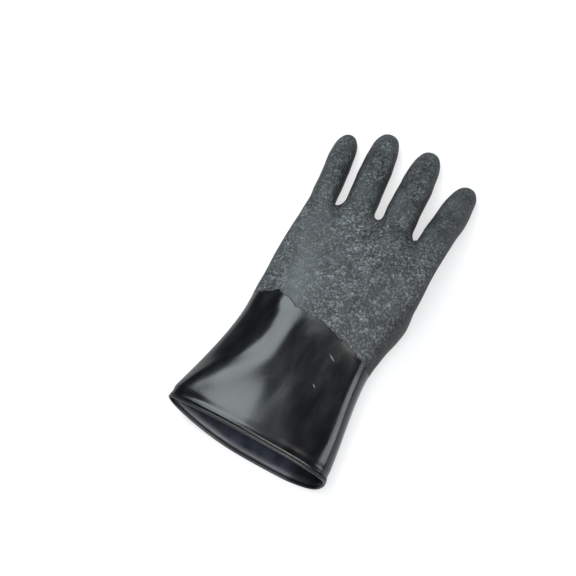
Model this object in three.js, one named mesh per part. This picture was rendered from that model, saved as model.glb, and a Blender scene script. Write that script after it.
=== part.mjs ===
// A left-hand butyl rubber gauntlet glove, dipped in one piece and lying palm down on its tucked thumb.
// +Y runs from the open rim to the fingertips, +X is the thumb's side and +Z is up.
// The surface that it lies on is z = 0.
// Its skin is one hollow wall from the rim to the fingertips, and the film's edge is rolled into a bead.
// The hand is drawn as a coarse cage of rings. One Catmull-Clark step rounds it, and then the wall gets its
// thickness.
import * as THREE from "three";

// Film and bead
const WALL = 1.0; // thickness of the rubber film
const BEAD_DIAMETER = 3.2; // rolled edge at the rim
const BEAD_GAP = 0.3; // between the film's edge and the roll
const BEAD_SIDES = 8;

// Gauntlet, wrist and palm
const CROTCH_REACH = 190; // rim to the middle of the finger crotches
const RIM_WIDTH = 127.5;
const RIM_DEPTH = 38; // how far the lips of the opening stand apart
const LOWER_BOW = 7.5; // the lower lip's middle reaches this far past its corners
const UPPER_BOW = 2.5; // and the upper lip's
const RIM_SLANT = 1; // the thumb's side of the rim reaches this far past the other
const WRIST_WIDTH = 103.5;
const WRIST_DEPTH = 37;
const PALM_DEPTH = 29;
const KNUCKLE_DEPTH = 25; // where the fingers start
const WEB_WIDTH = 6.5; // between two fingers at their crotch
const WEB_HOLLOW = 3.5; // valley between two knuckles
const CREST_HEIGHT = 3.6; // fold over the gauntlet's back
const CREST_SPREAD = 0.08; // share of the width over which the fold falls away

// Fingers, sized by the middle one
const FINGER_LENGTH = 82;
const FINGER_WIDTH = 25.4;
const FINGER_DEPTH = 22;

// Thumb, which lies under the palm and holds it up
const THUMB_LENGTH = 66;
const THUMB_WIDTH = 27;
const THUMB_DEPTH = 19;
const THUMB_CLEARANCE = 3.2; // between the thumb and the palm over it
const ULNAR_LIFT = 3; // the little finger's side lies lower than the thumb's
const THUMB_ROOT_REACH = 0.12; // share of the palm's width by which its columns draw in beside the root
const THUMB_ROOT_DROP = 8; // the palm's edge comes down this far to the root
const THUMB_ROOT_SWELL = 4.5; // the palm's edge stands out this far over the root

const RING_PULL = 1.08; // one smoothing step draws an eight-sided ring in by this factor
const PRESS = 1.4; // how far rubber that lies on the surface is flattened
const RADIAL_LIFT = THUMB_DEPTH + THUMB_CLEARANCE;

// Sections of the gauntlet and palm.
// at: share of CROTCH_REACH from the rim.
// rim, palm: how far the width and depth have gone from the wrist's to the rim's or the palm's.
// knuckle: how far the depth and the valleys have gone to the knuckles'.
// lift: share of the thumb that is under it.
// root: how far it takes part in the thumb's root.
// ulnar, radial: roundness of the two sides, 2 for an ellipse.
const SECTIONS = [
  { at: 0.0, rim: 1.0, palm: 0.0, knuckle: 0.0, lift: 0.0, root: 0.0, ulnar: 1.5, radial: 2.7 },
  { at: 0.066, rim: 0.86, palm: 0.0, knuckle: 0.0, lift: 0.0, root: 0.0, ulnar: 1.5, radial: 2.7 },
  { at: 0.143, rim: 0.64, palm: 0.0, knuckle: 0.0, lift: 0.0, root: 0.0, ulnar: 1.5, radial: 2.7 },
  { at: 0.26, rim: 0.27, palm: 0.0, knuckle: 0.0, lift: 0.0, root: 0.0, ulnar: 1.6, radial: 2.7 },
  { at: 0.387, rim: 0.0, palm: 0.0, knuckle: 0.0, lift: 0.04, root: 0.2, ulnar: 1.8, radial: 2.7 },
  { at: 0.494, rim: 0.0, palm: 0.16, knuckle: 0.0, lift: 0.2, root: 0.7, ulnar: 2.1, radial: 2.6 },
  { at: 0.596, rim: 0.0, palm: 0.5, knuckle: 0.0, lift: 0.6, root: 1.0, ulnar: 2.3, radial: 2.5 },
  { at: 0.698, rim: 0.0, palm: 0.74, knuckle: 0.0, lift: 1.0, root: 0.9, ulnar: 2.4, radial: 2.4 },
  { at: 0.805, rim: 0.0, palm: 0.9, knuckle: 0.1, lift: 1.06, root: 0.4, ulnar: 2.4, radial: 2.4 },
  { at: 0.908, rim: 0.0, palm: 0.97, knuckle: 0.5, lift: 1.0, root: 0.1, ulnar: 2.4, radial: 2.4 },
  { at: 1.0, rim: 0.0, palm: 1.0, knuckle: 1.0, lift: 1.0, root: 0.0, ulnar: 2.4, radial: 2.4 },
];

// The fold that runs from the wrist's back to the rim's corner on the little finger's side.
// at: share of CROTCH_REACH from the rim.
// place: share of the width from that side.
// height: share of CREST_HEIGHT.
const CREST = [
  { at: 0.0, place: 0.03, height: 0.0 },
  { at: 0.066, place: 0.09, height: 0.6 },
  { at: 0.143, place: 0.155, height: 0.9 },
  { at: 0.26, place: 0.26, height: 1.0 },
  { at: 0.387, place: 0.32, height: 1.0 },
  { at: 0.494, place: 0.28, height: 0.7 },
  { at: 0.596, place: 0.26, height: 0.2 },
  { at: 0.698, place: 0.26, height: 0.0 },
];

// Fingers from the little one to the index.
// length, width: shares of the middle finger's.
// crotch: how far the finger starts before or behind CROTCH_REACH, as a share of FINGER_LENGTH.
// splay: degrees towards the thumb's side.
const FINGERS = [
  { name: "little", length: 0.81, width: 0.8, crotch: -0.06, splay: -9.8 },
  { name: "ring", length: 0.955, width: 0.97, crotch: -0.01, splay: -9.5 },
  { name: "middle", length: 1.0, width: 1.0, crotch: -0.04, splay: -6.8 },
  { name: "index", length: 0.912, width: 0.95, crotch: -0.13, splay: -1.5 },
];

// Rings along a finger.
// at: share of its length.
// size: share of its width and depth.
// droop: how far it has come down from its root to the surface.
const DIGIT_RINGS = [
  { at: 0.12, size: 1.0, droop: 0.1 },
  { at: 0.3, size: 0.98, droop: 0.34 },
  { at: 0.49, size: 1.0, droop: 0.62 },
  { at: 0.68, size: 0.96, droop: 0.84 },
  { at: 0.85, size: 0.84, droop: 0.97 },
  { at: 0.96, size: 0.56, droop: 1.0 },
];

// Rings along the thumb.
// at: share of THUMB_LENGTH past its root's front.
// side: share of half the palm's width from the middle.
// size: share of its width and depth.
// rise: share of THUMB_DEPTH between it and the surface.
// pitch: degrees that it still points down by.
const THUMB_RINGS = [
  { at: -0.13, side: 0.735, size: 1.1, rise: 0.1, pitch: 50 },
  { at: 0.09, side: 0.715, size: 1.0, rise: 0.03, pitch: 14 },
  { at: 0.28, side: 0.68, size: 1.0, rise: 0.0, pitch: 3 },
  { at: 0.48, side: 0.64, size: 1.02, rise: 0.0, pitch: 0 },
  { at: 0.69, side: 0.6, size: 0.98, rise: 0.0, pitch: 0 },
  { at: 0.87, side: 0.57, size: 0.82, rise: 0.0, pitch: 0 },
  { at: 0.96, side: 0.555, size: 0.54, rise: 0.0, pitch: 0 },
];
const THUMB_TIP = { at: 1.0, side: 0.55 };
const THUMB_ROWS = [5, 7]; // the sections between which the thumb leaves the palm

const COLUMNS = 3 * FINGERS.length; // each finger's two sides and middle, on the back and on the palm
const RADIAL_EDGE = COLUMNS; // the edge on the thumb's side
const ULNAR_EDGE = 2 * COLUMNS + 1; // the edge on the little finger's side
const EDGE_SHARE = 0.035; // share of the width between an edge and its nearest column
const ROOT_SPAN = [0.45, 1.2]; // shares of the width between which columns draw in beside the thumb's root
const NEAR_RIM_SHARE = 0.08; // share of CROTCH_REACH over which the film comes down from its bead
const SHARPEST_RATIO = 0.7; // the wall's inner points move out by one over this at most

const mix = (a, b, t) => a + (b - a) * t;
const smooth = (t) => t * t * (3 - 2 * t);
const fingerWidth = (finger) => finger.width * FINGER_WIDTH;
const sum = (list) => list.reduce((total, value) => total + value, 0);

const PALM_WIDTH = sum(FINGERS.map(fingerWidth)) + (FINGERS.length - 1) * WEB_WIDTH;

// Where each column stands across the palm, from 0 at the little finger's edge to 1 at the index's.
function columnShares() {
  const shares = [];
  let start = 0;
  for (const finger of FINGERS) {
    const width = fingerWidth(finger);
    shares.push(start, start + width / 2, start + width);
    start += width + WEB_WIDTH;
  }
  return shares.map((x) => THREE.MathUtils.clamp(x / PALM_WIDTH, EDGE_SHARE, 1 - EDGE_SHARE));
}

// Height of a section's outline over its middle, as a share of half its depth.
function crown(share, section) {
  const fromEdge = share < 0.5 ? 2 * share : 2 * (1 - share);
  const round = share < 0.5 ? section.ulnar : section.radial;
  return Math.pow(1 - Math.pow(1 - fromEdge, round), 1 / round);
}

// The palm's columns draw in from its edge beside the thumb's root, most of all near the root's inner side.
function palmShare(section, share) {
  const [start, end] = ROOT_SPAN;
  const place = THREE.MathUtils.clamp((share - start) / (end - start), 0, 1);
  return share - section.root * THUMB_ROOT_REACH * Math.sin(Math.PI * place);
}

// How high the fold over the gauntlet's back stands at one place of a section.
function crest(at, share) {
  if (at > CREST[CREST.length - 1].at) return 0;
  const next = Math.max(CREST.findIndex((row) => row.at >= at), 1);
  const [a, b] = [CREST[next - 1], CREST[next]];
  const t = (at - a.at) / (b.at - a.at);
  const away = (share - mix(a.place, b.place, t)) / CREST_SPREAD;
  return CREST_HEIGHT * mix(a.height, b.height, t) * Math.exp(-away * away);
}

// One vertex of a section: side is 1 on the back of the hand, -1 on the palm and 0 on the edges.
function sectionPoint(section, place, column, side) {
  const share = side < 0 ? palmShare(section, place) : place;
  const width =
    WRIST_WIDTH + section.rim * (RIM_WIDTH - WRIST_WIDTH) + section.palm * (PALM_WIDTH - WRIST_WIDTH);
  const handDepth = mix(PALM_DEPTH, KNUCKLE_DEPTH, section.knuckle);
  const depth =
    WRIST_DEPTH + section.rim * (RIM_DEPTH - WRIST_DEPTH) + section.palm * (handDepth - WRIST_DEPTH);
  const lift = section.lift * mix(ULNAR_LIFT, RADIAL_LIFT, smooth(share));
  const high = crown(share, section);
  const web = column % 3 === 1 ? 0 : 1;
  const inside = column > 0 && column < COLUMNS - 1;
  const valley = inside ? web * section.knuckle * WEB_HOLLOW : 0;
  const bow = section.rim * section.rim * high * (side < 0 ? LOWER_BOW : UPPER_BOW * side);
  const slant = section.rim * section.rim * RIM_SLANT * share;
  const finger = FINGERS[Math.floor(column / 3)];
  const crotch = section.knuckle * finger.crotch * FINGER_LENGTH;
  const back = inside ? web * section.knuckle * Math.abs(side) * WEB_HOLLOW : 0;
  const drop = side === 0 && share > 0.5 ? section.root * THUMB_ROOT_DROP : 0;
  const swell = section.root * section.lift * THUMB_ROOT_SWELL * smooth(place);
  const fold = side > 0 ? crest(section.at, share) : 0;
  return new THREE.Vector3(
    (share - 0.5) * width + swell,
    section.at * CROTCH_REACH + crotch - bow - slant - back,
    lift - PRESS / 2 + depth / 2 - drop + side * ((high * depth) / 2 - valley) + fold,
  );
}

// The cage: its points, and its four-sided faces as indices that run anticlockwise seen from outside.
const cage = { points: [], faces: [] };
const addPoint = (point) => cage.points.push(point) - 1;

// Joins two rings of equal count, leaving out the faces that skip names.
function bridge(from, to, skip = () => false) {
  const count = from.length;
  for (let i = 0; i < count; i++) {
    const next = (i + 1) % count;
    if (!skip(i)) cage.faces.push([from[i], from[next], to[next], to[i]]);
  }
}

// Closes an eight-sided ring with four faces round a middle point.
function cap(ring, middle) {
  const [a, b, c, d, e, f, g, h] = ring;
  cage.faces.push([a, b, middle, h], [b, c, d, middle], [middle, d, e, f], [h, middle, f, g]);
}

// Eight points round a centre, from the angle first on.
// along is the digit's direction and right its wide direction.
function digitRing(centre, along, right, width, depth, first) {
  const up = new THREE.Vector3().crossVectors(right, along).normalize();
  const ring = [];
  for (let i = 0; i < 8; i++) {
    const angle = first - (i * Math.PI) / 4;
    const point = centre.clone();
    point.addScaledVector(right, (RING_PULL * width * Math.cos(angle)) / 2);
    point.addScaledVector(up, (RING_PULL * depth * Math.sin(angle)) / 2);
    ring.push(addPoint(point));
  }
  return ring;
}

// The palm and gauntlet: one ring for each section, open where the thumb leaves them.
function addPalm() {
  const shares = columnShares();
  const rings = SECTIONS.map((section) => {
    const back = shares.map((share, c) => addPoint(sectionPoint(section, share, c, 1)));
    const radial = addPoint(sectionPoint(section, 1, COLUMNS - 1, 0));
    const palm = shares.map((share, c) => addPoint(sectionPoint(section, share, c, -1))).reverse();
    const ulnar = addPoint(sectionPoint(section, 0, 0, 0));
    return [...back, radial, ...palm, ulnar];
  });
  const isThumb = (row) => (i) =>
    row >= THUMB_ROWS[0] && row < THUMB_ROWS[1] && (i === RADIAL_EDGE || i === RADIAL_EDGE + 1);
  for (let row = 0; row + 1 < rings.length; row++) bridge(rings[row], rings[row + 1], isThumb(row));
  return rings;
}

// The fingers, each from its own eight points of the palm's front ring, with a web between two neighbours.
function addFingers(front) {
  const shares = columnShares();
  const last = SECTIONS[SECTIONS.length - 1];
  const palmSide = (column) => front[2 * COLUMNS - column];
  const middles = shares.map((share, column) => {
    if (column === 0) return front[ULNAR_EDGE];
    if (column === COLUMNS - 1) return front[RADIAL_EDGE];
    return column % 3 === 1 ? -1 : addPoint(sectionPoint(last, share, column, 0));
  });
  FINGERS.forEach((finger, j) => {
    const [a, b, c] = [3 * j, 3 * j + 1, 3 * j + 2];
    const back = [front[a], front[b], front[c]];
    const palm = [palmSide(c), palmSide(b), palmSide(a)];
    addFinger(finger, [...back, middles[c], ...palm, middles[a]]);
    if (j + 1 === FINGERS.length) return;
    cage.faces.push([front[c], front[c + 1], middles[c + 1], middles[c]]);
    cage.faces.push([middles[c], middles[c + 1], palmSide(c + 1), palmSide(c)]);
  });
}

function centreOf(ring) {
  const centre = new THREE.Vector3();
  ring.forEach((i) => centre.addScaledVector(cage.points[i], 1 / ring.length));
  return centre;
}

// One finger, which comes down from its knuckle until its tip lies on the surface.
function addFinger(finger, root) {
  const start = centreOf(root);
  const length = finger.length * FINGER_LENGTH;
  const heading = THREE.MathUtils.degToRad(finger.splay);
  const along = new THREE.Vector3(Math.sin(heading), Math.cos(heading), 0);
  const right = new THREE.Vector3(along.y, -along.x, 0);
  const depth = FINGER_DEPTH * mix(1, finger.width, 0.5);
  const centreAt = (ring) => {
    const resting = (ring.size * depth) / 2 - PRESS / 2;
    const point = start.clone().addScaledVector(along, ring.at * length);
    point.z = mix(start.z, resting, ring.droop);
    return point;
  };
  const centres = [start, ...DIGIT_RINGS.map(centreAt)];
  let previous = root;
  DIGIT_RINGS.forEach((ring, k) => {
    const after = centres[Math.min(k + 2, centres.length - 1)];
    const slope = new THREE.Vector3().subVectors(after, centres[k]).normalize();
    const width = ring.size * fingerWidth(finger);
    const next = digitRing(centres[k + 1], slope, right, width, ring.size * depth, (3 * Math.PI) / 4);
    bridge(previous, next);
    previous = next;
  });
  const tip = start.clone().addScaledVector(along, length);
  tip.z = centres[centres.length - 1].z;
  cap(previous, addPoint(tip));
}

// The thumb, which turns down and forward out of its opening in the palm and lies along the surface.
function addThumb(rings) {
  const [rear, front] = THUMB_ROWS;
  const [edge, corner, under] = [RADIAL_EDGE, RADIAL_EDGE + 1, RADIAL_EDGE + 2];
  const middle = (rear + front) / 2;
  const root = [
    rings[rear][edge],
    rings[rear][corner],
    rings[rear][under],
    rings[middle][under],
    rings[front][under],
    rings[front][corner],
    rings[front][edge],
    rings[middle][edge],
  ];
  const rootFront = SECTIONS[front].at * CROTCH_REACH;
  const place = (ring, height) =>
    new THREE.Vector3((ring.side * PALM_WIDTH) / 2, rootFront + ring.at * THUMB_LENGTH, height);
  const heightOf = (ring) => (ring.size / 2 + ring.rise) * THUMB_DEPTH - PRESS / 2;
  const centres = THUMB_RINGS.map((ring) => place(ring, heightOf(ring)));
  let previous = root;
  THUMB_RINGS.forEach((ring, k) => {
    const before = centres[Math.max(k - 1, 0)];
    const after = centres[Math.min(k + 1, centres.length - 1)];
    const along = new THREE.Vector3().subVectors(after, before).setZ(0).normalize();
    const right = new THREE.Vector3(along.y, -along.x, 0);
    along.applyAxisAngle(right, -THREE.MathUtils.degToRad(ring.pitch));
    const width = ring.size * THUMB_WIDTH;
    const next = digitRing(centres[k], along, right, width, ring.size * THUMB_DEPTH, -Math.PI / 4);
    bridge(previous, next);
    previous = next;
  });
  cap(previous, addPoint(place(THUMB_TIP, centres[centres.length - 1].z)));
}

// One Catmull-Clark step on a mesh of four-sided faces, whose open edge keeps its own curve.
function subdivide({ points, faces }) {
  const edges = new Map();
  const facePoints = faces.map((face) => {
    const centre = new THREE.Vector3();
    face.forEach((i) => centre.addScaledVector(points[i], 1 / face.length));
    return centre;
  });
  faces.forEach((face, f) =>
    face.forEach((a, k) => {
      const b = face[(k + 1) % face.length];
      const key = a < b ? `${a},${b}` : `${b},${a}`;
      if (!edges.has(key)) edges.set(key, { ends: [a, b], faces: [] });
      edges.get(key).faces.push(f);
    }),
  );
  const around = points.map(() => ({ faces: [], mids: [], open: [] }));
  for (const edge of edges.values()) {
    const [a, b] = edge.ends;
    const mid = new THREE.Vector3().addVectors(points[a], points[b]).multiplyScalar(0.5);
    edge.open = edge.faces.length === 1;
    edge.point = mid.clone();
    if (!edge.open) {
      const [f, g] = edge.faces;
      edge.point.addScaledVector(facePoints[f], 0.5).addScaledVector(facePoints[g], 0.5);
      edge.point.multiplyScalar(0.5);
    }
    for (const i of [a, b]) {
      around[i].mids.push(mid);
      if (edge.open) around[i].open.push(mid);
    }
  }
  faces.forEach((face, f) => face.forEach((i) => around[i].faces.push(facePoints[f])));
  const average = (list) => {
    const total = new THREE.Vector3();
    list.forEach((v) => total.addScaledVector(v, 1 / list.length));
    return total;
  };
  const moved = points.map((point, i) => {
    const near = around[i];
    if (near.open.length === 2) return point.clone().add(average(near.open)).multiplyScalar(0.5);
    const n = near.faces.length;
    const result = average(near.faces).addScaledVector(average(near.mids), 2).addScaledVector(point, n - 3);
    return result.multiplyScalar(1 / n);
  });
  const rounded = { points: moved, faces: [] };
  const faceIds = facePoints.map((point) => rounded.points.push(point) - 1);
  for (const edge of edges.values()) edge.id = rounded.points.push(edge.point) - 1;
  const idOf = (a, b) => edges.get(a < b ? `${a},${b}` : `${b},${a}`).id;
  faces.forEach((face, f) =>
    face.forEach((i, k) => {
      const before = face[(k + face.length - 1) % face.length];
      const after = face[(k + 1) % face.length];
      rounded.faces.push([i, idOf(i, after), faceIds[f], idOf(before, i)]);
    }),
  );
  return rounded;
}

// The same mesh without the points that no face uses.
function compact({ points, faces }) {
  const used = [...new Set(faces.flat())].sort((a, b) => a - b);
  const place = new Map(used.map((i, k) => [i, k]));
  return { points: used.map((i) => points[i]), faces: faces.map((face) => face.map((i) => place.get(i))) };
}

// At each point its unit normal, and how much further than the wall's thickness its inner point lies,
// so that the faces round it keep that thickness.
function wallOf({ points, faces }) {
  const faceNormals = faces.map(([a, b, c, d]) => {
    const across = new THREE.Vector3().subVectors(points[c], points[a]);
    return across.cross(new THREE.Vector3().subVectors(points[d], points[b])).normalize();
  });
  const around = points.map(() => []);
  faces.forEach((face, f) => face.forEach((i) => around[i].push(faceNormals[f])));
  return around.map((near) => {
    const normal = new THREE.Vector3();
    near.forEach((other) => normal.add(other));
    normal.normalize();
    const lean = sum(near.map((other) => normal.dot(other))) / near.length;
    return { normal, stretch: 1 / Math.max(lean, SHARPEST_RATIO) };
  });
}

// The open edge as a loop of point indices, in the order in which its faces run.
function openEdge({ faces }) {
  const next = new Map();
  const seen = new Set();
  for (const face of faces)
    face.forEach((a, k) => {
      seen.add(`${a},${face[(k + 1) % face.length]}`);
    });
  for (const pair of seen) {
    const [a, b] = pair.split(",").map(Number);
    if (!seen.has(`${b},${a}`)) next.set(a, b);
  }
  const loop = [next.keys().next().value];
  while (next.get(loop[loop.length - 1]) !== loop[0]) loop.push(next.get(loop[loop.length - 1]));
  return loop;
}

// Splits a four-sided face along its shorter diagonal.
function triangles(points, [a, b, c, d]) {
  const short = points[a].distanceToSquared(points[c]) <= points[b].distanceToSquared(points[d]);
  return short ? [a, b, c, a, c, d] : [a, b, d, b, c, d];
}

function solid(name, points, faces, material) {
  const geometry = new THREE.BufferGeometry();
  const flat = points.flatMap((point) => point.toArray());
  geometry.setAttribute("position", new THREE.Float32BufferAttribute(flat, 3));
  geometry.setIndex(faces.flatMap((face) => triangles(points, face)));
  geometry.computeVertexNormals();
  const mesh = new THREE.Mesh(geometry, material);
  mesh.name = name;
  return mesh;
}

// Rubber that reaches the surface lies flat on it, and near the rim it stands on the bead.
function restOnSurface(points) {
  const beadDrop = (BEAD_DIAMETER - WALL) / 2;
  for (const point of points) {
    const nearRim = THREE.MathUtils.clamp(1 - point.y / (NEAR_RIM_SHARE * CROTCH_REACH), 0, 1);
    const surface = beadDrop * smooth(nearRim);
    point.z = Math.max(point.z, surface);
  }
}

const rings = addPalm();
addFingers(rings[SECTIONS.length - 1]);
addThumb(rings);
const outer = subdivide(compact(cage));
restOnSurface(outer.points);
const wall = wallOf(outer);
function inward(i, depth) {
  return outer.points[i].clone().addScaledVector(wall[i].normal, -depth * wall[i].stretch);
}

// The skin: the outer surface, the same surface one wall inwards, and the strip that joins them at the rim.
function skin() {
  const count = outer.points.length;
  const inner = outer.points.map((_, i) => inward(i, WALL));
  const faces = [...outer.faces];
  for (const [a, b, c, d] of outer.faces) faces.push([d + count, c + count, b + count, a + count]);
  const rim = openEdge(outer);
  rim.forEach((a, k) => {
    const b = rim[(k + 1) % rim.length];
    faces.push([b, a, a + count, b + count]);
  });
  const rubber = new THREE.MeshStandardMaterial({ color: 0x2c2f31, roughness: 0.62, metalness: 0 });
  return solid("glove_skin", [...outer.points, ...inner], faces, rubber);
}

// The roll of film round the rim, a tube that follows the film's edge.
function bead() {
  const radius = BEAD_DIAMETER / 2;
  const rim = openEdge(outer);
  const points = [];
  const faces = [];
  rim.forEach((i, k) => {
    const before = outer.points[rim[(k + rim.length - 1) % rim.length]];
    const after = outer.points[rim[(k + 1) % rim.length]];
    const along = new THREE.Vector3().subVectors(after, before).normalize();
    const outward = wall[i].normal.clone();
    outward.y = 0;
    outward.addScaledVector(along, -outward.dot(along)).normalize();
    const away = new THREE.Vector3().crossVectors(along, outward).normalize();
    if (away.y > 0) away.negate();
    const centre = inward(i, WALL / 2);
    centre.addScaledVector(away, radius + BEAD_GAP);
    for (let s = 0; s < BEAD_SIDES; s++) {
      const angle = (2 * Math.PI * (s + 0.5)) / BEAD_SIDES;
      const point = centre.clone();
      point.addScaledVector(outward, radius * Math.cos(angle));
      point.addScaledVector(away, radius * Math.sin(angle));
      points.push(point);
    }
  });
  rim.forEach((_, k) => {
    const here = k * BEAD_SIDES;
    const there = ((k + 1) % rim.length) * BEAD_SIDES;
    for (let s = 0; s < BEAD_SIDES; s++) {
      const t = (s + 1) % BEAD_SIDES;
      faces.push([here + s, here + t, there + t, there + s]);
    }
  });
  const rolled = new THREE.MeshStandardMaterial({ color: 0x15181b, roughness: 0.3, metalness: 0 });
  return solid("rolled_bead", points, faces, rolled);
}

const glove = new THREE.Group();
glove.add(skin(), bead());

// The origin is under the middle of the whole glove, on the surface it lies on.
const extent = new THREE.Box3().setFromObject(glove);
const middle = extent.getCenter(new THREE.Vector3());
glove.position.set(-middle.x, -middle.y, -extent.min.z);

export default glove;
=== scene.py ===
import math

import bmesh
import bpy
import numpy as np
from bpy.props import FloatProperty, FloatVectorProperty, PointerProperty
from mathutils import Matrix, Vector


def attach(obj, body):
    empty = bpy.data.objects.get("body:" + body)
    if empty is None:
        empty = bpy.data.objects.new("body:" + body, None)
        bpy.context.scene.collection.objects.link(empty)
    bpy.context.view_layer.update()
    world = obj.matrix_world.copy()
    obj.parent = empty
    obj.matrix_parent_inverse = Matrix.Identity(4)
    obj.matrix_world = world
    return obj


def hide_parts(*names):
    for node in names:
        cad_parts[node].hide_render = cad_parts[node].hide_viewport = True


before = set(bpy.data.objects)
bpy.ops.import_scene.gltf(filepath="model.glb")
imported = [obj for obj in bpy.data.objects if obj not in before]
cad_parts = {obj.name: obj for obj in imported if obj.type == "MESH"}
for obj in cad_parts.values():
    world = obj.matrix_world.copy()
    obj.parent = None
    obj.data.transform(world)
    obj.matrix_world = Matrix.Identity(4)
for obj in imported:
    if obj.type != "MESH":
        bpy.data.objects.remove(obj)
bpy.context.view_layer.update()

bl_info = {
    "name": "Butyl Gauntlet Glove",
    "version": (1, 0, 0),
    "blender": (4, 5, 0),
    "location": "View3D > Sidebar > Glove",
    "description": "Dresses a left-hand butyl rubber glove: film, rolled bead and a plain stage",
    "category": "Object",
}

MM = 0.001

MERGE = 0.01 * MM  # points of a solid nearer than this are one
SUBDIVISIONS = 2
RIM_TURN = math.radians(70)  # the outer sheet ends at an edge that turns more than this
QUAD_FLAT = math.radians(75)  # two triangles folded less than this may join into a quad
QUAD_SKEW = math.radians(85)  # whose corners may be this far out of square

# Near the rim, in millimetres: the sculpting fades out over the last HELD, the lip flares over LIP_WIDE,
# and the groove's middle lies GROOVE_AT from the rim and reaches GROOVE_WIDE to each side.
HELD = 7
LIP_WIDE = 3
GROOVE_AT = 4
GROOVE_WIDE = 2

WRINKLE_WIDE = 1.1  # millimetres from a wrinkle's middle to where it has mostly faded

RUBBER_IOR = 1.52
FILM_IOR = 1.45  # a little under rubber's own, which keeps the smooth film nearly black


def linear(code):
    """An sRGB hex colour as linear red, green and blue."""
    parts = [int(code[i : i + 2], 16) / 255 for i in (1, 3, 5)]
    return tuple(c / 12.92 if c <= 0.04045 else ((c + 0.055) / 1.055) ** 2.4 for c in parts)


class GloveSizes(bpy.types.PropertyGroup):
    """Sizes of the film's folds and of the dipped finish"""

    film: FloatProperty(
        name="Film", description="Thickness of the rubber", default=1.0 * MM, unit="LENGTH"
    )
    crest: FloatProperty(
        name="Crest", description="Height of the fold that runs from the wrist to the rim's corner",
        default=0.8 * MM, unit="LENGTH",
    )
    corner: FloatProperty(
        name="Corner", description="Height of the fold's foot at the rim's corner", default=0.7 * MM,
        unit="LENGTH",
    )
    shoulder: FloatProperty(
        name="Shoulder", description="How much the hollow beside the fold is filled", default=2.4 * MM,
        unit="LENGTH",
    )
    edge_fold: FloatProperty(
        name="Edge fold", description="Height of the fold between the gauntlet's back and its side",
        default=0.6 * MM, unit="LENGTH",
    )
    dents: FloatProperty(
        name="Dents", description="Depth of the gauntlet's soft hollows", default=0.35 * MM, unit="LENGTH"
    )
    lumps: FloatProperty(
        name="Lumps", description="Unevenness of the film over the hand", default=0.5 * MM, unit="LENGTH"
    )
    bead_slim: FloatProperty(
        name="Bead slimming", description="How much thinner all round the roll is than its solid",
        default=0.4 * MM, unit="LENGTH",
    )
    bead_draw: FloatProperty(
        name="Bead draw", description="How far the roll is drawn up to the film's edge", default=0.6 * MM,
        unit="LENGTH",
    )
    creases: FloatProperty(
        name="Creases", description="Depth of the creases behind the finger crotches",
        default=0.9 * MM, unit="LENGTH",
    )
    wrinkles: FloatProperty(
        name="Wrinkles", description="Depth of the small wrinkles on the fingers",
        default=0.45 * MM, unit="LENGTH",
    )
    lip: FloatProperty(
        name="Lip", description="How far the film flares out just behind its rolled edge",
        default=0.4 * MM, unit="LENGTH",
    )
    groove: FloatProperty(
        name="Groove", description="Depth of the groove behind the lip", default=0.3 * MM, unit="LENGTH"
    )
    # Real grains are under about half a millimetre. They are drawn coarser, or they wouldn't show.
    grain: FloatProperty(
        name="Grain", description="Width of a grain of the rough finish", default=1.3 * MM, unit="LENGTH"
    )
    grain_height: FloatProperty(
        name="Grain height", description="How far a grain stands up", default=0.4 * MM, unit="LENGTH"
    )


class GloveFinish(bpy.types.PropertyGroup):
    """Colours of the rubber"""

    grip_dark: FloatVectorProperty(
        name="Grip", description="Rough rubber between its grains", subtype="COLOR", size=3,
        min=0, max=1, default=linear("#0c0f10"),
    )
    grip_light: FloatVectorProperty(
        name="Grains", description="Worn tops of the rough rubber's grains", subtype="COLOR", size=3,
        min=0, max=1, default=linear("#80888b"),
    )
    smooth_dark: FloatVectorProperty(
        name="Smooth", description="Smooth rubber of the gauntlet", subtype="COLOR", size=3,
        min=0, max=1, default=linear("#08090b"),
    )
    smooth_bloom: FloatVectorProperty(
        name="Bloom", description="Faint powdery bloom on the smooth rubber", subtype="COLOR", size=3,
        min=0, max=1, default=linear("#15181a"),
    )
    powder: FloatVectorProperty(
        name="Powder", description="Talc on the glove's inside", subtype="COLOR", size=3,
        min=0, max=1, default=linear("#363c48"),
    )


class GloveStage(bpy.types.PropertyGroup):
    """Floor, lights and camera"""

    floor: FloatVectorProperty(
        name="Floor", description="Colour of the plain floor", subtype="COLOR", size=3,
        min=0, max=1, default=linear("#a2a4a6"),
    )
    glow: FloatProperty(
        name="Floor glow", description="Light that the floor gives off itself", default=0.56, min=0
    )
    key: FloatProperty(
        name="Key", description="Power of the softbox on the left in watts", default=13.2, min=0
    )
    fill: FloatProperty(
        name="Fill", description="Power of the broad light from above in watts", default=25.0, min=0
    )


# Lines on the glove, seen from above. x, y: millimetres in the frame. They are the gauntlet's main fold
# from the rim to the wrist, its foot at the rim's corner, the fold between the gauntlet's back and its
# thumb's side, and the dip line on the back and on the palm's side.
CREST_LINE = [
    (-62, -126), (-54, -116), (-42, -99), (-32.5, -85), (-22.5, -70), (-21, -56), (-23, -43), (-25.5, -30),
    (-27.5, -8),
]
CORNER_LINE = [(-62, -130), (-52, -113), (-42, -98), (-33, -84)]
EDGE_LINE = [(42, -38), (44.5, -51), (48.5, -74), (51, -86), (55.5, -103), (59, -122)]
DIP_BACK = [
    (-60, -35), (-52, -33), (-44.6, -31.5), (-33.2, -26.7), (-24, -30), (-15.2, -34), (-4.2, -34.5),
    (6.6, -34.8), (15, -37.5), (22.8, -39.8), (33.6, -42.3), (43.1, -45.2), (48.9, -47.8), (60, -49),
]
DIP_PALM = [(-60, -35), (-40, -37), (-20, -33), (0, -31), (20, -35), (40, -44), (60, -49)]

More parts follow.
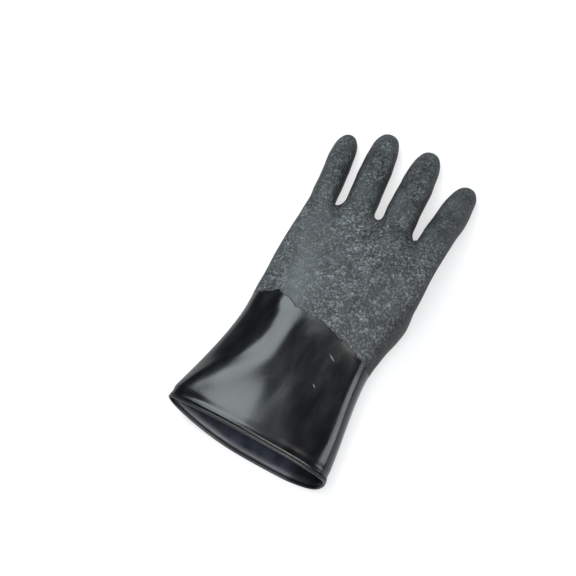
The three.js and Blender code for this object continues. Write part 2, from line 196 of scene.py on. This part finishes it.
# Soft hollows of the gauntlet. x, y: middle. long, wide: reach along and across. turn: degrees.
# depth: share of the dents' depth.
DENTS = [
    {"x": 4, "y": -86, "long": 26, "wide": 7, "turn": 6, "depth": 1.0},
    {"x": 22, "y": -72, "long": 18, "wide": 6, "turn": -8, "depth": 0.8},
    {"x": 34, "y": -96, "long": 24, "wide": 7, "turn": 5, "depth": 0.9},
    {"x": 14, "y": -112, "long": 14, "wide": 6, "turn": -12, "depth": 0.7},
    {"x": 46, "y": -112, "long": 14, "wide": 5, "turn": 10, "depth": 0.8},
]

# Creases in the hand's back, from each finger crotch towards the wrist. Fewer light grains lie along them,
# as painted shade.
CREASES = [
    [(-33, 52), (-32, 42), (-29, 33)],
    [(3, 57), (2, 45), (-1, 33)],
    [(30, 54), (29, 42), (25, 29)],
]

# Short wrinkles. x, y: middle. turn: degrees from the x axis. long: length. depth: share.
WRINKLES = [
    {"x": -3.5, "y": 121, "turn": 60, "long": 9, "depth": 1.0},
    {"x": -0.5, "y": 123, "turn": 66, "long": 10, "depth": 1.0},
    {"x": 2.5, "y": 121.5, "turn": 75, "long": 7, "depth": 0.8},
    {"x": 46, "y": 63, "turn": 66, "long": 9, "depth": 1.0},
    {"x": 49, "y": 61, "turn": 72, "long": 11, "depth": 1.1},
    {"x": 52, "y": 58, "turn": 78, "long": 10, "depth": 0.9},
    {"x": 41, "y": 88, "turn": 8, "long": 8, "depth": 0.7},
    {"x": 40.5, "y": 92, "turn": -4, "long": 9, "depth": 0.7},
    {"x": 9, "y": 84, "turn": 10, "long": 9, "depth": 0.7},
    {"x": 8, "y": 88, "turn": -6, "long": 10, "depth": 0.6},
    {"x": -20, "y": 86, "turn": 6, "long": 9, "depth": 0.7},
    {"x": -21, "y": 90, "turn": -8, "long": 8, "depth": 0.6},
    {"x": -50, "y": 74, "turn": 10, "long": 8, "depth": 0.7},
]

# Scratches in the gauntlet's shine. x, y: middle. turn: degrees from the x axis. long, wide: millimetres.
SCRATCHES = [
    {"x": 24.7, "y": -54.6, "turn": -32, "long": 7, "wide": 1.0},
    {"x": 24.1, "y": -78.6, "turn": -40, "long": 4, "wide": 0.9},
]

SCRATCH_HEIGHT = 34  # millimetres, about the height of the gauntlet's back where they lie
SCRATCH_REACH = 20  # millimetres that a mark reaches up and down from there

# Where handling has worn the rough finish smooth, and its colour is lighter. Along the line the lighter
# colour is painted sheen under the broad highlight on the little finger's side; the spots are worn patches
# over the
# knuckles. x, y: middle. size: reach. much: share.
RUBBED_SHEEN_LINE = [(-24, -34), (-27, -22), (-31, -2), (-36, 15), (-41, 34)]
RUBBED = [
    {"x": -16, "y": 74, "size": 9, "much": 0.6},
    {"x": 8, "y": 76, "size": 9, "much": 0.6},
    {"x": 40, "y": 99, "size": 11, "much": 0.55},
    {"x": 43, "y": 60, "size": 8, "much": 0.5},
    {"x": -47, "y": 62, "size": 8, "much": 0.35},
]


def smooth(low, high, x):
    """0 below low, 1 above high, and a smooth step between."""
    t = np.clip((x - low) / (high - low), 0, 1)
    return t * t * (3 - 2 * t)


def beside(points, line):
    """Each point's distance from a line seen from above, and its share along the line.

    Points and line are in mm. The distance is positive on the line's right.
    """
    line = np.array(line, float)
    steps = np.diff(line, axis=0)
    lengths = np.hypot(*steps.T)
    starts = np.concatenate([[0], np.cumsum(lengths)])
    best = np.full(len(points), 1e9)
    side = np.zeros(len(points))
    share = np.zeros(len(points))
    for a, step, length, start in zip(line[:-1], steps, lengths, starts):
        away = points[:, :2] - a
        t = np.clip(away @ step / length**2, 0, 1)
        off = away - t[:, None] * step
        distance = np.hypot(*off.T)
        near = distance < best
        best[near] = distance[near]
        side[near] = np.sign(off[:, 0] * step[1] - off[:, 1] * step[0])[near]
        share[near] = ((start + t * length) / starts[-1])[near]
    return best * side, share


def waves(points, size, seed):
    """Smooth unevenness, mostly from -1 to 1, whose humps are about size mm apart."""
    count, usual_peak = 10, 4.5
    turn = np.random.default_rng(seed)
    total = np.zeros(len(points))
    for _ in range(count):
        direction = turn.normal(size=3)
        direction *= turn.uniform(0.6, 1.4) * math.pi / size / np.linalg.norm(direction)
        total += np.sin(points @ direction + turn.uniform(0, 2 * math.pi))
    return total / usual_peak


def merged(node):
    """A node's mesh as a bmesh, with the points of its triangles merged."""
    shape = bmesh.new()
    shape.from_mesh(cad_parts[node].data)
    bmesh.ops.remove_doubles(shape, verts=shape.verts, dist=MERGE)
    return shape


def join_quads(shape):
    """Joins pairs of triangles into quads, which subdivide more evenly."""
    bmesh.ops.join_triangles(
        shape, faces=shape.faces, angle_face_threshold=QUAD_FLAT, angle_shape_threshold=QUAD_SKEW
    )


def outer_sheet(node):
    """The outside of a thin-walled node: all that is reached without turning over its rim."""
    sheet = merged(node)
    sheet.normal_update()
    start = min(sheet.verts, key=lambda v: v.co.x).link_faces[0]
    reached, front = {start}, [start]
    while front:
        face = front.pop()
        for edge in face.edges:
            if edge.calc_face_angle(0) > RIM_TURN:
                continue
            for other in edge.link_faces:
                if other not in reached:
                    reached.add(other)
                    front.append(other)
    bmesh.ops.delete(sheet, geom=[f for f in sheet.faces if f not in reached], context="FACES")
    join_quads(sheet)
    return sheet


def piece_from(name, shape):
    """A new object from a bmesh, with its subdivision applied."""
    mesh = bpy.data.meshes.new(name)
    shape.to_mesh(mesh)
    shape.free()
    piece = bpy.data.objects.new(name, mesh)
    bpy.context.scene.collection.objects.link(piece)
    rounding = piece.modifiers.new("Rounding", "SUBSURF")
    rounding.levels = rounding.render_levels = SUBDIVISIONS
    apply_modifiers(piece)
    for face in piece.data.polygons:
        face.use_smooth = True
    return piece


def apply_modifiers(piece):
    """Makes what the piece's modifiers show its own mesh."""
    graph = bpy.context.evaluated_depsgraph_get()
    shown = bpy.data.meshes.new_from_object(piece.evaluated_get(graph))
    piece.modifiers.clear()
    old = piece.data
    piece.data = shown
    bpy.data.meshes.remove(old)
    shown.name = piece.name


def read(piece):
    """The piece's points in mm and its normals, as arrays."""
    count = len(piece.data.vertices)
    points = np.zeros(count * 3)
    normals = np.zeros(count * 3)
    piece.data.vertices.foreach_get("co", points)
    piece.data.vertices.foreach_get("normal", normals)
    return points.reshape(-1, 3) / MM, normals.reshape(-1, 3)


def write(piece, points):
    """Moves the piece's points to new places in mm."""
    piece.data.vertices.foreach_set("co", (points * MM).ravel())
    piece.data.update()


def measure(piece, name, values):
    """Keeps one number for each point of the piece, for its material to read."""
    attribute = piece.data.attributes.new(name, "FLOAT", "POINT")
    attribute.data.foreach_set("value", values.astype(np.float32))


def add(tree, kind, links=None, **settings):
    """Adds a shader node. links gives an input a socket or a constant, by its name or number."""
    node = tree.nodes.new("ShaderNode" + kind)
    for name, value in settings.items():
        setattr(node, name, value)
    for name, value in (links or {}).items():
        if isinstance(value, bpy.types.NodeSocket):
            tree.links.new(value, node.inputs[name])
        else:
            node.inputs[name].default_value = value
    return node


def new_material(name):
    """An empty material with its Principled shader."""
    material = bpy.data.materials.new(name)
    material.use_nodes = True
    tree = material.node_tree
    tree.nodes.clear()
    shader = add(tree, "BsdfPrincipled")
    add(tree, "OutputMaterial", {"Surface": shader.outputs["BSDF"]})
    return material, tree, shader


def set_inputs(shader, values):
    """Sets a shader's inputs to constants."""
    for name, value in values.items():
        shader.inputs[name].default_value = value


def rgba(colour):
    """A linear colour with full alpha."""
    return (*colour, 1.0)


def scratch(tree, place, row):
    """A short thin mark on the surface: 1 along its middle, 0 past its edges."""
    spot = add(tree, "Mapping", {
        "Vector": place,
        "Location": (row["x"] * MM, row["y"] * MM, SCRATCH_HEIGHT * MM),
        "Rotation": (0.0, 0.0, math.radians(row["turn"])),
        "Scale": (row["long"] / 2 * MM, row["wide"] / 2 * MM, SCRATCH_REACH * MM),
    }, vector_type="TEXTURE")
    mark = add(tree, "TexGradient", {"Vector": spot.outputs["Vector"]}, gradient_type="SPHERICAL")
    return mark.outputs["Fac"]


def butyl_film(sizes, finish):
    """Dipped butyl rubber, with a second, rough coat over the hand.

    The rough coat's grains scatter light and look grey and speckled. The gauntlet is smooth, so it
    is nearly black with soft reflections.
    """
    material, tree, shader = new_material("dipped_butyl_rubber")
    place = add(tree, "TexCoord").outputs["Object"]
    dip = add(tree, "Attribute", attribute_name="dip").outputs["Fac"]
    reach = add(tree, "Attribute", attribute_name="reach").outputs["Fac"]
    rubbed_and_sheen = add(tree, "Attribute", attribute_name="rubbed_and_sheen").outputs["Fac"]
    top_light = add(tree, "Attribute", attribute_name="top_light").outputs["Fac"]

    # The dip line wanders by up to 0.8 mm along its length.
    wander = add(tree, "TexNoise", {"Vector": place, "Scale": 1 / (5 * MM), "Detail": 3.0})
    shift = add(tree, "MapRange", {"Value": wander.outputs["Fac"], "From Min": 0.3, "From Max": 0.7,
                                   "To Min": -0.8, "To Max": 0.8})
    line = add(tree, "Math", {0: dip, 1: shift.outputs["Result"]}, operation="ADD")
    grip = add(tree, "MapRange", {"Value": line.outputs["Value"], "From Min": -0.25, "From Max": 0.35})
    grip = grip.outputs["Result"]

    # Each grain has its own share of wear. They stand in loose clusters, over blotches 15 mm wide.
    grains = add(tree, "TexVoronoi", {"Vector": place, "Scale": 1 / sizes.grain, "Randomness": 1.0})
    own = add(tree, "SeparateColor", {"Color": grains.outputs["Color"]}).outputs["Red"]
    worn = add(tree, "MapRange", {"Value": own, "From Min": 0.3, "From Max": 1.0})
    dome = add(tree, "MapRange", {"Value": grains.outputs["Distance"], "From Min": 0.1, "From Max": 0.9,
                                  "To Min": 1.0, "To Max": 0.25}).outputs["Result"]
    flakes = add(tree, "TexNoise", {"Vector": place, "Scale": 0.75 / sizes.grain, "Detail": 3.0,
                                    "Roughness": 0.7})
    flakes = add(tree, "MapRange", {"Value": flakes.outputs["Fac"], "From Min": 0.47, "From Max": 0.67})
    specks = add(tree, "Math", {0: worn.outputs["Result"], 1: dome}, operation="MULTIPLY")
    specks = add(tree, "Math", {0: specks.outputs["Value"], 1: 0.55}, operation="MULTIPLY")
    specks = add(tree, "Math", {0: specks.outputs["Value"], 1: flakes.outputs["Result"]}, operation="ADD")
    clusters = add(tree, "TexNoise", {"Vector": place, "Scale": 1 / (7 * MM), "Detail": 4.0,
                                      "Roughness": 0.65})
    plenty = add(tree, "MapRange", {"Value": clusters.outputs["Fac"], "From Min": 0.36, "From Max": 0.64,
                                    "To Min": 0.25, "To Max": 1.0})
    specks = add(tree, "Math", {0: specks.outputs["Value"], 1: plenty.outputs["Result"]},
                 operation="MULTIPLY")
    specks = add(tree, "Math", {0: specks.outputs["Value"], 1: reach}, operation="MULTIPLY")
    blotches = add(tree, "TexNoise", {"Vector": place, "Scale": 1 / (15 * MM), "Detail": 5.0,
                                      "Roughness": 0.6})
    haze_and_top_light = add(tree, "MapRange", {"Value": blotches.outputs["Fac"], "From Min": 0.35, "From Max": 0.65,
                                  "To Min": 0.0, "To Max": 0.08})
    # Painted light: the blotchy lightening shows only where the film faces up.
    haze_and_top_light = add(tree, "Math", {0: haze_and_top_light.outputs["Result"], 1: top_light}, operation="MULTIPLY")
    # Lighter colour where the film is worn smooth: painted sheen along the little finger's side, worn
    # patches over the knuckles.
    wear_and_sheen_tint = add(tree, "Math", {0: rubbed_and_sheen, 1: 0.13}, operation="MULTIPLY")
    light = add(tree, "Math", {0: specks.outputs["Value"], 1: haze_and_top_light.outputs["Value"]}, operation="ADD")
    light = add(tree, "Math", {0: light.outputs["Value"], 1: wear_and_sheen_tint.outputs["Value"]},
                operation="ADD", use_clamp=True)
    rough_colour = add(tree, "Mix", {"Factor": light.outputs["Value"], "A": rgba(finish.grip_dark),
                                     "B": rgba(finish.grip_light)}, data_type="RGBA")

    # A faint bloom in soft streaks that run along the gauntlet.
    stretched = add(tree, "Mapping", {"Vector": place, "Scale": (1.0, 0.35, 1.0)})
    bloom = add(tree, "TexNoise", {"Vector": stretched.outputs["Vector"], "Scale": 1 / (11 * MM),
                                   "Detail": 4.0, "Roughness": 0.6})
    film = add(tree, "MapRange", {"Value": bloom.outputs["Fac"], "From Min": 0.42, "From Max": 0.75})
    smooth_colour = add(tree, "Mix", {"Factor": film.outputs["Result"], "A": rgba(finish.smooth_dark),
                                      "B": rgba(finish.smooth_bloom)}, data_type="RGBA")
    marks = None
    for row in SCRATCHES:
        mark = scratch(tree, place, row)
        if marks is not None:
            mark = add(tree, "Math", {0: marks, 1: mark}, operation="MAXIMUM").outputs["Value"]
        marks = mark
    marks = add(tree, "MapRange", {"Value": marks, "From Max": 0.5, "To Max": 0.7}).outputs["Result"]
    smooth_colour = add(tree, "Mix", {"Factor": marks, "A": smooth_colour.outputs["Result"],
                                      "B": rgba(finish.grip_light)}, data_type="RGBA")
    colour = add(tree, "Mix", {"Factor": grip, "A": smooth_colour.outputs["Result"],
                               "B": rough_colour.outputs["Result"]}, data_type="RGBA")

    smooth_rough = add(tree, "MapRange", {"Value": bloom.outputs["Fac"], "From Min": 0.3, "From Max": 0.75,
                                          "To Min": 0.19, "To Max": 0.27})
    grip_rough = add(tree, "MapRange", {"Value": rubbed_and_sheen, "To Min": 0.6, "To Max": 0.44})
    roughness = add(tree, "Mix", {"Factor": grip, "A": smooth_rough.outputs["Result"],
                                  "B": grip_rough.outputs["Result"]}, data_type="FLOAT")

    # The grains stand up on a second coat, whose edge is a fine step.
    height = add(tree, "Math", {0: dome, 1: flakes.outputs["Result"]}, operation="ADD")
    height = add(tree, "Math", {0: height.outputs["Value"], 1: reach}, operation="MULTIPLY")
    height = add(tree, "Math", {0: height.outputs["Value"], 1: 0.8}, operation="ADD")
    height = add(tree, "Math", {0: height.outputs["Value"], 1: grip}, operation="MULTIPLY")
    peel = add(tree, "TexNoise", {"Vector": place, "Scale": 1 / (2.5 * MM), "Detail": 2.0})
    peel = add(tree, "Math", {0: peel.outputs["Fac"], 1: 0.06}, operation="MULTIPLY")
    ripple = add(tree, "Math", {0: bloom.outputs["Fac"], 1: 0.22}, operation="MULTIPLY")
    ripple = add(tree, "Math", {0: ripple.outputs["Value"], 1: peel.outputs["Value"]}, operation="ADD")
    height = add(tree, "Math", {0: height.outputs["Value"], 1: ripple.outputs["Value"]}, operation="ADD")
    relief = add(tree, "Bump", {"Height": height.outputs["Value"], "Distance": sizes.grain_height,
                                "Strength": 1.0})

    tree.links.new(colour.outputs["Result"], shader.inputs["Base Color"])
    tree.links.new(roughness.outputs["Result"], shader.inputs["Roughness"])
    tree.links.new(relief.outputs["Normal"], shader.inputs["Normal"])
    set_inputs(shader, {"IOR": FILM_IOR, "Specular IOR Level": 0.5})
    return material


def powdered_butyl(finish):
    """The inside of the film, dusted with talc so that a hand slides in: a dull blue-grey."""
    material, tree, shader = new_material("powdered_butyl_rubber")
    place = add(tree, "TexCoord").outputs["Object"]
    dust = add(tree, "TexNoise", {"Vector": place, "Scale": 1 / (9 * MM), "Detail": 5.0, "Roughness": 0.6})
    cover = add(tree, "MapRange", {"Value": dust.outputs["Fac"], "From Min": 0.2, "From Max": 0.6})
    # Painted shade: the powder fades out towards the thumb's end of the opening, which is left near black.
    across = add(tree, "SeparateXYZ", {"Vector": place}).outputs["X"]
    shade_fade = add(tree, "MapRange", {"Value": across, "From Min": 30 * MM, "From Max": 42 * MM,
                                  "To Min": 1.0, "To Max": 0.1}, interpolation_type="SMOOTHSTEP")
    cover = add(tree, "Math", {0: cover.outputs["Result"], 1: shade_fade.outputs["Result"]}, operation="MULTIPLY")
    colour = add(tree, "Mix", {"Factor": cover.outputs["Value"], "A": rgba(finish.smooth_dark),
                               "B": rgba(finish.powder)}, data_type="RGBA")
    roughness = add(tree, "MapRange", {"Value": dust.outputs["Fac"], "To Min": 0.28, "To Max": 0.5})
    tree.links.new(colour.outputs["Result"], shader.inputs["Base Color"])
    tree.links.new(roughness.outputs["Result"], shader.inputs["Roughness"])
    set_inputs(shader, {"IOR": RUBBER_IOR})
    return material


def butyl_roll(finish):
    """The same smooth rubber, rolled up into a bead."""
    material, tree, shader = new_material("rolled_butyl_rubber")
    place = add(tree, "TexCoord").outputs["Object"]
    uneven = add(tree, "TexNoise", {"Vector": place, "Scale": 1 / (6 * MM), "Detail": 3.0})
    colour = add(tree, "Mix", {"Factor": uneven.outputs["Fac"], "A": rgba(finish.smooth_dark),
                               "B": rgba(finish.smooth_bloom)}, data_type="RGBA")
    roughness = add(tree, "MapRange", {"Value": uneven.outputs["Fac"], "To Min": 0.2, "To Max": 0.4})
    relief = add(tree, "Bump", {"Height": uneven.outputs["Fac"], "Distance": 0.2 * MM, "Strength": 0.6})
    tree.links.new(colour.outputs["Result"], shader.inputs["Base Color"])
    tree.links.new(roughness.outputs["Result"], shader.inputs["Roughness"])
    tree.links.new(relief.outputs["Normal"], shader.inputs["Normal"])
    set_inputs(shader, {"IOR": RUBBER_IOR})
    return material


def on_back(points, normals):
    """1 on the glove's back, 0 on its sides and underneath."""
    return smooth(0.0, 0.4, normals[:, 2]) * smooth(8, 18, points[:, 2])


def fold(points, normals, line, height, right, left, ends):
    """Raises a ridge along a line on the back.

    right, left: how far it falls away on its two sides in mm. The right one may be a pair, for the
    line's start and its end. ends: shares of the line over which the ridge rises and fades.
    """
    distance, share = beside(points, line)
    first, last = right if isinstance(right, tuple) else (right, right)
    width = np.where(distance > 0, first + (last - first) * smooth(0.4, 0.8, share), left)
    fade = smooth(0, ends[0], share) * smooth(0, ends[1], 1 - share)
    back = on_back(points, normals)
    return points + normals * (height * fade * back * np.exp(-((distance / width) ** 2)))[:, None]


def shoulder(points, normals, line, height, near, far):
    """Fills the hollow on the right of a ridge, so that the film runs on from it as one flat facet.

    near, far: where the filling starts and how far it reaches, in mm from the ridge.
    """
    distance, share = beside(points, line)
    right = np.maximum(distance, 0)
    fade = smooth(0, 0.5, share) * smooth(0, 0.35, 1 - share)
    back = on_back(points, normals)
    filled = np.exp(-((right / far) ** 2)) - np.exp(-((right / near) ** 2))
    return points + normals * (height * fade * back * filled)[:, None]


def dent(points, normals, hollow, depth):
    """Presses one long soft hollow into the back."""
    turn = math.radians(hollow["turn"])
    x = points[:, 0] - hollow["x"]
    y = points[:, 1] - hollow["y"]
    across = (x * math.cos(turn) - y * math.sin(turn)) / hollow["wide"]
    along = (x * math.sin(turn) + y * math.cos(turn)) / hollow["long"]
    back = smooth(0.1, 0.5, normals[:, 2]) * smooth(12, 22, points[:, 2])
    press = depth * hollow["depth"] * back * np.exp(-(across**2) - along**2)
    return points - normals * press[:, None]


def wrinkle(points, normals, row, depth):
    """Presses one short narrow wrinkle into the back."""
    turn = math.radians(row["turn"])
    x = points[:, 0] - row["x"]
    y = points[:, 1] - row["y"]
    along = (x * math.cos(turn) + y * math.sin(turn)) / (row["long"] / 2)
    across = (y * math.cos(turn) - x * math.sin(turn)) / WRINKLE_WIDE
    back = smooth(0.2, 0.6, normals[:, 2])
    press = depth * row["depth"] * back * (1 - smooth(0.6, 1.1, np.abs(along))) * np.exp(-(across**2))
    return points - normals * press[:, None]


def from_rim(points, piece):
    """How far each point lies from the sheet's open edge, in mm."""
    shape = bmesh.new()
    shape.from_mesh(piece.data)
    edge = {v for e in shape.edges if e.is_boundary for v in e.verts}
    edge = np.array([tuple(v.co) for v in edge]) / MM
    shape.free()
    # In parts, so that the table of distances stays small.
    parts = np.array_split(points, 40)
    return np.concatenate([np.sqrt(((part[:, None] - edge[None]) ** 2).sum(2)).min(1) for part in parts])


def sculpt(piece, sizes):
    """Gives the sheet its folds, hollows, creases and lip, and returns its points in mm."""
    base, normals = read(piece)
    rim = from_rim(base, piece)
    points = fold(base, normals, CREST_LINE, sizes.crest / MM, right=(14, 6), left=8, ends=(0.02, 0.15))
    points = fold(points, normals, CORNER_LINE, sizes.corner / MM, right=12, left=8, ends=(0.02, 0.5))
    points = shoulder(points, normals, CREST_LINE, sizes.shoulder / MM, near=9, far=26)
    write(piece, points)
    points, normals = read(piece)
    points = fold(points, normals, EDGE_LINE, sizes.edge_fold / MM, right=5, left=5, ends=(0.15, 0.4))
    for hollow in DENTS:
        points = dent(points, normals, hollow, sizes.dents / MM)
    for line in CREASES:
        points = fold(points, normals, line, -sizes.creases / MM, right=4, left=4, ends=(0.2, 0.6))
    for row in WRINKLES:
        points = wrinkle(points, normals, row, sizes.wrinkles / MM)
    hand = smooth(-60, -30, points[:, 1])
    wide, narrow = waves(points, size=16, seed=3), waves(points, size=8, seed=7)
    lumps = sizes.lumps / MM * (0.5 * wide + 0.35 * narrow) * hand
    points = points + normals * lumps[:, None]

    # Nothing moves at the rim itself, where the film meets its rolled edge, but for the lip.
    points = base + (points - base) * smooth(0, HELD, rim)[:, None]
    lip = sizes.lip / MM * (1 - smooth(0, LIP_WIDE, rim))
    lip = lip - sizes.groove / MM * np.exp(-(((rim - GROOVE_AT) / GROOVE_WIDE) ** 2))
    points = points + normals * lip[:, None]
    points[:, 2] = np.maximum(points[:, 2], 0)
    write(piece, points)
    return points


def note_finish(piece, points):
    """Keeps what the film's material reads at each point.

    dip: mm past the dip line. rubbed: how smooth handling has worn it; its colour is lighter there, partly
    as
    painted sheen. top: how much it faces up, which makes it lighter as painted light. reach: how much of
    the rough coat's grains shows, lowered as painted shade on the sides, towards the thumb and in the
    creases.
    """
    back = smooth(8, 24, points[:, 2])
    edge_back = np.interp(points[:, 0], *np.array(DIP_BACK).T)
    edge_palm = np.interp(points[:, 0], *np.array(DIP_PALM).T)
    measure(piece, "dip", points[:, 1] - (back * edge_back + (1 - back) * edge_palm))
    line_distance, _ = beside(points, RUBBED_SHEEN_LINE)
    rubbed_and_sheen = np.exp(-((line_distance / np.where(line_distance > 0, 18, 9)) ** 2))
    for row in RUBBED:
        away = np.hypot(points[:, 0] - row["x"], points[:, 1] - row["y"]) / row["size"]
        rubbed_and_sheen = np.maximum(rubbed_and_sheen, row["much"] * np.exp(-(away**2)))
    rubbed_and_sheen *= back
    # Painted light: film that faces up gets a lighter colour, so its sides look darker.
    top_light = smooth(0.3, 1.0, read(piece)[1][:, 2])
    measure(piece, "rubbed_and_sheen", rubbed_and_sheen)
    measure(piece, "top_light", top_light)
    fingers = smooth(35, 75, points[:, 1])
    thumb_side_shade = smooth(-5, 45, points[:, 0])
    # Painted shade: fewer light grains towards the thumb's side, away from the softbox on the left.
    reach = (1 - 0.4 * fingers) * (1 - 0.6 * rubbed_and_sheen) * (0.25 + 0.75 * top_light) * (1 - 0.3 * thumb_side_shade)
    # Painted shade: fewer light grains in the creases behind the finger crotches, so they look darker.
    for line in CREASES:
        away, share = beside(points, line)
        reach *= 1 - 0.6 * np.exp(-((away / 6) ** 2)) * (1 - share)
    measure(piece, "reach", reach)


class GLOVE_OT_skin(bpy.types.Operator):
    """Makes the rubber film of the hand and gauntlet from the skin's solid"""

    bl_idname = "glove.skin"
    bl_label = "Rubber Film"

    def execute(self, context):
        sizes = context.scene.glove_sizes
        finish = context.scene.glove_finish
        piece = piece_from("butyl_skin", outer_sheet("glove_skin"))
        note_finish(piece, sculpt(piece, sizes))

        wall = piece.modifiers.new("Wall", "SOLIDIFY")
        wall.thickness = sizes.film
        wall.offset = -1
        wall.material_offset = 1
        piece.data.materials.append(butyl_film(sizes, finish))
        piece.data.materials.append(powdered_butyl(finish))
        apply_modifiers(piece)
        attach(piece, "root")
        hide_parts("glove_skin")
        return {"FINISHED"}


class GLOVE_OT_bead(bpy.types.Operator):
    """Makes the rolled edge at the rim from the bead's solid"""

    bl_idname = "glove.bead"
    bl_label = "Rolled Bead"

    def execute(self, context):
        roll = merged("rolled_bead")
        join_quads(roll)
        piece = piece_from("rim_bead", roll)
        points, normals = read(piece)
        sizes = context.scene.glove_sizes
        write(piece, points - normals * (sizes.bead_slim / MM) + np.array([0, sizes.bead_draw / MM, 0]))
        piece.data.materials.append(butyl_roll(context.scene.glove_finish))
        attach(piece, "root")
        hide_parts("rolled_bead")
        return {"FINISHED"}


# Softboxes round the glove. az, el: degrees, az 0 in front of the rim and 90 at the thumb's side.
# away, wide, high: metres. power: share of the key's or the fill's. tint: colour.
LIGHTS = [
    {"name": "left_softbox", "az": -116, "el": 56.5, "away": 1.3, "wide": 0.72, "high": 0.72, "role": "key",
     "power": 1.0, "tint": "#eef9fc"},
    {"name": "top_softbox", "az": 20, "el": 72, "away": 1.5, "wide": 1.0, "high": 1.0, "role": "fill",
     "power": 1.0, "tint": "#fffdfc"},
    {"name": "right_strip", "az": 113, "el": 27, "away": 1.3, "wide": 0.3, "high": 0.8, "role": "fill",
     "power": 0.19, "tint": "#f4fafc"},
    {"name": "front_strip", "az": 5, "el": 15, "away": 1.4, "wide": 1.2, "high": 0.2, "role": "fill",
     "power": 0.08, "tint": "#f4fafc"},
]

# A dim even light from all round.
WORLD = {"tint": "#dfe3e6", "strength": 0.08}

FLOOR_REACH = 3.0  # metres from the middle to each side
FLOOR_DROP = 0.1 * MM  # keeps the floor clear of the film that lies on it

# A long lens about 1.2 m from the glove. az, el: as above. away: metres. aim, lens, sensor: millimetres.
CAMERA = {"az": 30, "el": 65, "away": 1.163, "aim": (-36.5, -9.12, 0), "lens": 100, "sensor": 36}


def bearing(azimuth, elevation):
    """The direction from the glove to a place round it, given in degrees."""
    a, e = math.radians(azimuth), math.radians(elevation)
    return Vector((math.sin(a) * math.cos(e), -math.cos(a) * math.cos(e), math.sin(e)))


class GLOVE_OT_stage(bpy.types.Operator):
    """Makes the plain floor, the soft lights and the camera"""

    bl_idname = "glove.stage"
    bl_label = "Stage"

    def execute(self, context):
        scene = context.scene
        stage = scene.glove_stage

        sheet = bmesh.new()
        under = Matrix.Translation((0, 0, -FLOOR_DROP))
        bmesh.ops.create_grid(sheet, x_segments=1, y_segments=1, size=FLOOR_REACH, matrix=under)
        mesh = bpy.data.meshes.new("floor")
        sheet.to_mesh(mesh)
        sheet.free()
        floor = bpy.data.objects.new("floor", mesh)
        scene.collection.objects.link(floor)
        paper, tree, shader = new_material("matt_paper")
        set_inputs(shader, {"Base Color": rgba(stage.floor), "Roughness": 0.9, "Specular IOR Level": 0.2,
                            "Emission Color": (1.0, 1.0, 1.0, 1.0), "Emission Strength": stage.glow})
        mesh.materials.append(paper)

        for row in LIGHTS:
            lamp = bpy.data.lights.new(row["name"], "AREA")
            lamp.shape = "RECTANGLE"
            lamp.size = row["wide"]
            lamp.size_y = row["high"]
            lamp.energy = row["power"] * (stage.key if row["role"] == "key" else stage.fill)
            lamp.color = linear(row["tint"])
            light = bpy.data.objects.new(row["name"], lamp)
            towards = bearing(row["az"], row["el"])
            light.location = towards * row["away"]
            light.rotation_euler = towards.to_track_quat("Z", "Y").to_euler()
            scene.collection.objects.link(light)

        world = bpy.data.worlds.new("studio")
        world.use_nodes = True
        background = world.node_tree.nodes["Background"]
        background.inputs["Color"].default_value = rgba(linear(WORLD["tint"]))
        background.inputs["Strength"].default_value = WORLD["strength"]
        scene.world = world
        scene.view_settings.view_transform = "Standard"

        lens = bpy.data.cameras.new("camera")
        lens.lens = CAMERA["lens"]
        lens.sensor_width = CAMERA["sensor"]
        camera = bpy.data.objects.new("camera", lens)
        back = bearing(CAMERA["az"], CAMERA["el"])
        camera.location = Vector(CAMERA["aim"]) * MM + back * CAMERA["away"]
        camera.rotation_euler = back.to_track_quat("Z", "Y").to_euler()
        scene.collection.objects.link(camera)
        scene.camera = camera
        return {"FINISHED"}


class GLOVE_PT_panel(bpy.types.Panel):
    """Sizes, colours and steps of the glove"""

    bl_idname = "GLOVE_PT_panel"
    bl_label = "Butyl Glove"
    bl_space_type = "VIEW_3D"
    bl_region_type = "UI"
    bl_category = "Glove"

    def draw(self, context):
        scene = context.scene
        for title, group in (
            ("Sizes", scene.glove_sizes), ("Colours", scene.glove_finish), ("Stage", scene.glove_stage)
        ):
            box = self.layout.box()
            box.label(text=title)
            for name in group.__annotations__:
                box.prop(group, name)
        for operator in (GLOVE_OT_skin, GLOVE_OT_bead, GLOVE_OT_stage):
            self.layout.operator(operator.bl_idname)


CLASSES = (
    GloveSizes, GloveFinish, GloveStage, GLOVE_OT_skin, GLOVE_OT_bead, GLOVE_OT_stage, GLOVE_PT_panel,
)


def register():
    """Adds the add-on's classes and the scene's properties."""
    for cls in CLASSES:
        bpy.utils.register_class(cls)
    bpy.types.Scene.glove_sizes = PointerProperty(type=GloveSizes)
    bpy.types.Scene.glove_finish = PointerProperty(type=GloveFinish)
    bpy.types.Scene.glove_stage = PointerProperty(type=GloveStage)


def unregister():
    """Takes them away again."""
    del bpy.types.Scene.glove_stage
    del bpy.types.Scene.glove_finish
    del bpy.types.Scene.glove_sizes
    for cls in reversed(CLASSES):
        bpy.utils.unregister_class(cls)


def main():
    """Makes the glove and its stage."""
    register()
    bpy.ops.glove.skin()
    bpy.ops.glove.bead()
    bpy.ops.glove.stage()


if __name__ == "__main__":
    main()
